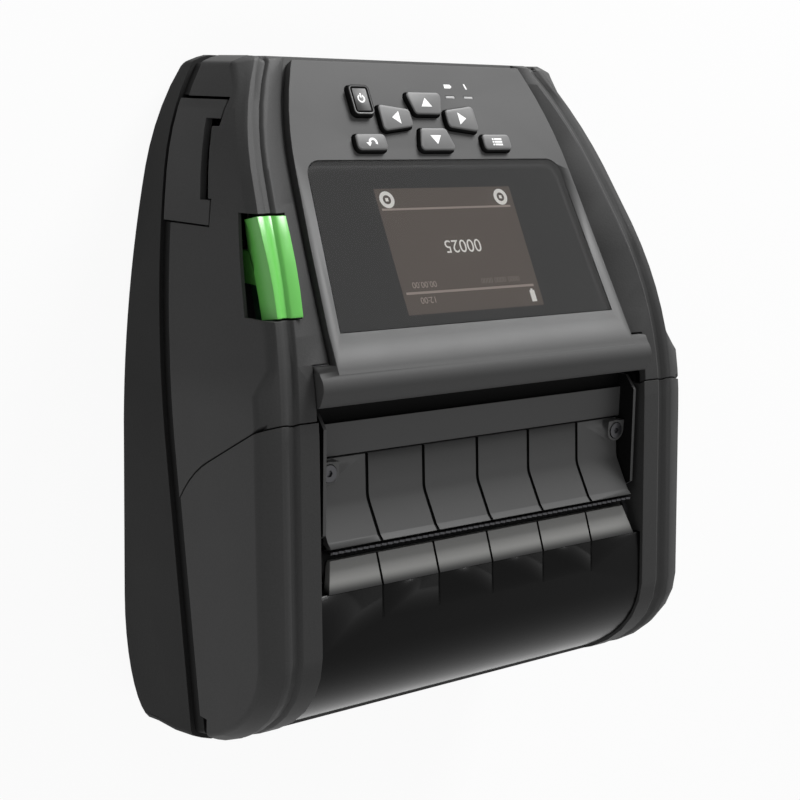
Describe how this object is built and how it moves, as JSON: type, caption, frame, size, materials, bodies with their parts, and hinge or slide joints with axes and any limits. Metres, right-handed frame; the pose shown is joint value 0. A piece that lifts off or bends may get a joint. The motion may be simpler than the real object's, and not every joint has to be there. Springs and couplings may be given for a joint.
{
  "type": "label maker",
  "caption": "Portable four-inch label printer with a sloping keypad and screen, a ribbed paper exit and a nose cover that opens.",
  "frame": {"origin": "centre of the footprint, on the plane of the flat back", "axes": "+X across the width, +Y towards the key end, +Z out of the display side"},
  "size_m": [0.154, 0.1876, 0.0764],
  "materials": {
    "textured_shell": "fine sparked texture",
    "back_shell": "fine sparked texture",
    "seam_rubber": "satin",
    "panel_grey": "satin",
    "dark_lens": "gloss",
    "screen_glass": "backlit",
    "board": "solder mask",
    "key_grey": "satin",
    "light_pipe": "clear",
    "release_green": "satin",
    "steel": "zinc plated",
    "black_plastic": "satin",
    "glass_filled": "satin",
    "deflector_grey": "satin",
    "head_metal": "machined",
    "brass": "plain",
    "acetal": "moulded",
    "roller_rubber": "ground",
    "cover_shell": "fine sparked texture",
    "smoked_window": "gloss",
    "lip_grey": "satin",
    "motor_case": "drawn can",
    "battery_case": "satin",
    "contact_gold": "plated",
    "flap_rubber": "satin",
    "mat_rubber": "matt"
  },
  "bodies": {
    "housing": {"back_shell": "back_shell", "seam_band": "seam_rubber", "upper_housing": "textured_shell", "display_panel": "panel_grey", "display_lens": "dark_lens", "lcd_module": "screen_glass", "display_board": "board", "keypad_mat": "mat_rubber", "status_lights": "light_pipe", "release_spring": "steel", "interface_ports": "black_plastic", "main_board": "board", "exit_bridge": "black_plastic", "deflector_plate": "deflector_grey", "tear_bar": "steel", "deflector_screws": "steel", "printhead": "head_metal", "printhead_springs": "steel", "chassis_frame": "glass_filled", "drive_motor": "motor_case", "idler_stud": "steel", "hinge_pins": "steel", "hinge_spring": "steel", "battery_pack": "battery_case", "battery_contacts": "contact_gold", "latch_spring": "steel", "media_sensor": "black_plastic", "housing_screws": "steel"},
    "key_power": {"key_power": "key_grey"},
    "key_up": {"key_up": "key_grey"},
    "key_down": {"key_down": "key_grey"},
    "key_left": {"key_left": "key_grey"},
    "key_right": {"key_right": "key_grey"},
    "key_back": {"key_back": "key_grey"},
    "key_menu": {"key_menu": "key_grey"},
    "release_button": {"release_button": "release_green"},
    "latch": {"latch_arms": "glass_filled", "latch_shaft": "steel"},
    "interface_flap": {"interface_flap": "flap_rubber"},
    "motor_pinion": {"motor_pinion": "brass"},
    "idler_gear": {"idler_gear": "acetal"},
    "platen": {"platen_shaft": "steel", "platen_roller": "roller_rubber", "platen_gear": "acetal"},
    "media_cover": {"cover_frame": "cover_shell", "cover_window": "smoked_window", "cover_lip": "lip_grey", "platen_bearings": "acetal"},
    "guide_left": {"guide_left": "glass_filled"},
    "guide_right": {"guide_right": "glass_filled"},
    "guide_pinion": {"guide_pinion": "acetal"},
    "battery_latch": {"battery_latch": "battery_case"}
  },
  "joints": [
    {"name": "key_power_press", "type": "slide", "parent": "housing", "child": "key_power", "axis": [0, -0.4695, -0.8829], "range_m": [0, 0.001], "stiffness_N_per_m": 400, "springref_m": -0.0012},
    {"name": "key_up_press", "type": "slide", "parent": "housing", "child": "key_up", "axis": [0, -0.4695, -0.8829], "range_m": [0, 0.001], "stiffness_N_per_m": 400, "springref_m": -0.0012},
    {"name": "key_down_press", "type": "slide", "parent": "housing", "child": "key_down", "axis": [0, -0.4695, -0.8829], "range_m": [0, 0.001], "stiffness_N_per_m": 400, "springref_m": -0.0012},
    {"name": "key_left_press", "type": "slide", "parent": "housing", "child": "key_left", "axis": [0, -0.4695, -0.8829], "range_m": [0, 0.001], "stiffness_N_per_m": 400, "springref_m": -0.0012},
    {"name": "key_right_press", "type": "slide", "parent": "housing", "child": "key_right", "axis": [0, -0.4695, -0.8829], "range_m": [0, 0.001], "stiffness_N_per_m": 400, "springref_m": -0.0012},
    {"name": "key_back_press", "type": "slide", "parent": "housing", "child": "key_back", "axis": [0, -0.4695, -0.8829], "range_m": [0, 0.001], "stiffness_N_per_m": 400, "springref_m": -0.0012},
    {"name": "key_menu_press", "type": "slide", "parent": "housing", "child": "key_menu", "axis": [0, -0.4695, -0.8829], "range_m": [0, 0.001], "stiffness_N_per_m": 400, "springref_m": -0.0012},
    {"name": "release_press", "type": "slide", "parent": "housing", "child": "release_button", "axis": [0, 0, -1], "range_m": [0, 0.0025], "stiffness_N_per_m": 500, "springref_m": -0.001, "deforming": ["release_spring"]},
    {"name": "latch_swing", "type": "hinge", "parent": "housing", "child": "latch", "pos_m": [0, 0.012, 0.047], "axis": [1, 0, 0], "range_deg": [-6, 0]},
    {"name": "flap_open", "type": "hinge", "parent": "housing", "child": "interface_flap", "pos_m": [-0.06968, 0.06648, 0.01364], "axis": [-0.2555, -0.9515, 0.1712], "range_deg": [0, 100]},
    {"name": "cover_open", "type": "hinge", "parent": "housing", "child": "media_cover", "pos_m": [0, -0.08684, 0.044], "axis": [1, 0, 0], "range_deg": [0, 90]},
    {"name": "platen_spin", "type": "hinge", "parent": "media_cover", "child": "platen", "pos_m": [0, -0.0386, 0.0644], "axis": [1, 0, 0], "continuous": true},
    {"name": "idler_spin", "type": "hinge", "parent": "housing", "child": "idler_gear", "pos_m": [0.0635, -0.02481, 0.05283], "axis": [1, 0, 0], "continuous": true},
    {"name": "pinion_spin", "type": "hinge", "parent": "housing", "child": "motor_pinion", "pos_m": [0.0635, -0.0113, 0.04503], "axis": [1, 0, 0], "continuous": true},
    {"name": "guide_left_slide", "type": "slide", "parent": "housing", "child": "guide_left", "axis": [1, 0, 0], "range_m": [0, 0.03]},
    {"name": "guide_right_slide", "type": "slide", "parent": "housing", "child": "guide_right", "axis": [-1, 0, 0], "range_m": [0, 0.03]},
    {"name": "guide_pinion_spin", "type": "hinge", "parent": "housing", "child": "guide_pinion", "pos_m": [0, -0.0515, 0.004], "axis": [0, 0, 1], "range_deg": [0, 290]},
    {"name": "battery_latch_slide", "type": "slide", "parent": "housing", "child": "battery_latch", "axis": [0, -1, 0], "range_m": [0, 0.0026], "stiffness_N_per_m": 300, "springref_m": -0.001, "deforming": ["latch_spring"]}
  ],
  "couplings": [
    {"joint": "latch_swing", "follows": "release_press", "rad_per_m": -38.4},
    {"joint": "idler_spin", "follows": "platen_spin", "ratio": -0.5},
    {"joint": "pinion_spin", "follows": "platen_spin", "ratio": 1.6667},
    {"joint": "guide_right_slide", "follows": "guide_left_slide", "ratio": 1},
    {"joint": "guide_pinion_spin", "follows": "guide_left_slide", "rad_per_m": 166.67}
  ]
}
